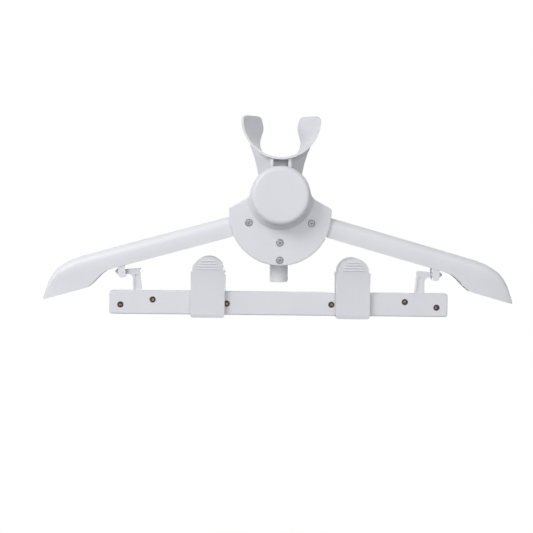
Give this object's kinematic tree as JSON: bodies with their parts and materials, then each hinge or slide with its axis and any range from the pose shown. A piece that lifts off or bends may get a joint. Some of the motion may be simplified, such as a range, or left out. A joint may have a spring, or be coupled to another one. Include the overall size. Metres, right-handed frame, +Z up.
{
  "type": "folding garment hanger head",
  "caption": "Folding plastic clothes hanger head for a garment steamer pole, with hinged arms, a head cradle, a push button and a trouser bar with sliding clips.",
  "frame": {"origin": "centre of the flat lower end of the pole spigot", "axes": "+Z up along the pole, +X to the right as seen from the front, the front with the button faces -Y"},
  "size_m": [0.4204, 0.0605, 0.1823],
  "materials": {
    "housing": "satin moulded white plastic",
    "button": "satin moulded white plastic",
    "inner": "plain moulded plastic",
    "zinc": "bright zinc plate",
    "brass": "yellow zinc plate",
    "spring": "drawn spring wire"
  },
  "bodies": {
    "hub": {"pole_spigot": "housing", "hub_front_shell": "housing", "hub_rear_shell": "housing", "left_hub_screw": "zinc", "right_hub_screw": "zinc", "upper_hub_screw": "zinc", "lower_hub_screw": "zinc", "head_cradle": "housing", "left_cradle_screw": "zinc", "right_cradle_screw": "zinc", "button_spring": "spring"},
    "button": {"release_button": "button", "lock_plate": "inner", "lock_plate_screw": "zinc"},
    "arm_left": {"left_arm": "housing"},
    "arm_right": {"right_arm": "housing"},
    "pins": {"left_hook_pin": "housing", "right_hook_pin": "housing"},
    "bar": {"left_bracket": "housing", "right_bracket": "housing", "bar_front_shell": "housing", "bar_rear_shell": "housing", "bar_screw_1": "brass", "bar_screw_2": "brass", "bar_screw_3": "brass", "bar_screw_4": "brass", "bar_screw_5": "brass", "bar_screw_6": "brass"},
    "clip_left": {"left_clip_slider": "inner", "left_clip_axle": "spring", "left_clip_spring": "spring"},
    "clip_left_front": {"left_clip_front_leaf": "housing"},
    "clip_left_rear": {"left_clip_rear_leaf": "housing"},
    "clip_right": {"right_clip_slider": "inner", "right_clip_axle": "spring", "right_clip_spring": "spring"},
    "clip_right_front": {"right_clip_front_leaf": "housing"},
    "clip_right_rear": {"right_clip_rear_leaf": "housing"}
  },
  "joints": [
    {"name": "left_arm_fold", "type": "hinge", "parent": "hub", "child": "arm_left", "pos_m": [-0.0277, -0.01725, 0.0537], "axis": [0, -1, 0], "range_deg": [0, 70]},
    {"name": "right_arm_fold", "type": "hinge", "parent": "hub", "child": "arm_right", "pos_m": [0.0277, -0.01725, 0.0537], "axis": [0, 1, 0], "range_deg": [0, 70]},
    {"name": "bar_drop", "type": "slide", "parent": "hub", "child": "pins", "axis": [0, 0, -1], "range_m": [0, 0.282]},
    {"name": "bar_swing", "type": "hinge", "parent": "pins", "child": "bar", "pos_m": [0, -0.01725, 0.0089], "axis": [1, 0, 0], "range_deg": [-15, 15]},
    {"name": "button_press", "type": "slide", "parent": "hub", "child": "button", "axis": [0, 1, 0], "range_m": [0, 0.004], "stiffness_N_per_m": 600, "springref_m": -0.003, "deforming": ["button_spring"]},
    {"name": "left_clip_slide", "type": "slide", "parent": "bar", "child": "clip_left", "axis": [1, 0, 0], "range_m": [-0.018, 0.016]},
    {"name": "left_clip_squeeze", "type": "hinge", "parent": "clip_left", "child": "clip_left_front", "pos_m": [-0.0635, -0.01725, -0.0016], "axis": [-1, 0, 0], "range_deg": [0, 14], "stiffness_Nm_per_rad": 0.3, "springref_deg": -17.19, "deforming": ["left_clip_spring"]},
    {"name": "left_clip_rear_swing", "type": "hinge", "parent": "clip_left", "child": "clip_left_rear", "pos_m": [-0.0635, -0.01725, -0.0016], "axis": [1, 0, 0], "range_deg": [0, 14]},
    {"name": "right_clip_slide", "type": "slide", "parent": "bar", "child": "clip_right", "axis": [-1, 0, 0], "range_m": [-0.018, 0.016]},
    {"name": "right_clip_squeeze", "type": "hinge", "parent": "clip_right", "child": "clip_right_front", "pos_m": [0.0656, -0.01725, -0.0016], "axis": [-1, 0, 0], "range_deg": [0, 14], "stiffness_Nm_per_rad": 0.3, "springref_deg": -17.19, "deforming": ["right_clip_spring"]},
    {"name": "right_clip_rear_swing", "type": "hinge", "parent": "clip_right", "child": "clip_right_rear", "pos_m": [0.0656, -0.01725, -0.0016], "axis": [1, 0, 0], "range_deg": [0, 14]}
  ],
  "couplings": [
    {"joint": "right_arm_fold", "follows": "left_arm_fold", "ratio": 1},
    {"joint": "bar_drop", "follows": "left_arm_fold", "m_per_rad": 0.23},
    {"joint": "left_clip_rear_swing", "follows": "left_clip_squeeze", "ratio": 1},
    {"joint": "right_clip_rear_swing", "follows": "right_clip_squeeze", "ratio": 1}
  ]
}
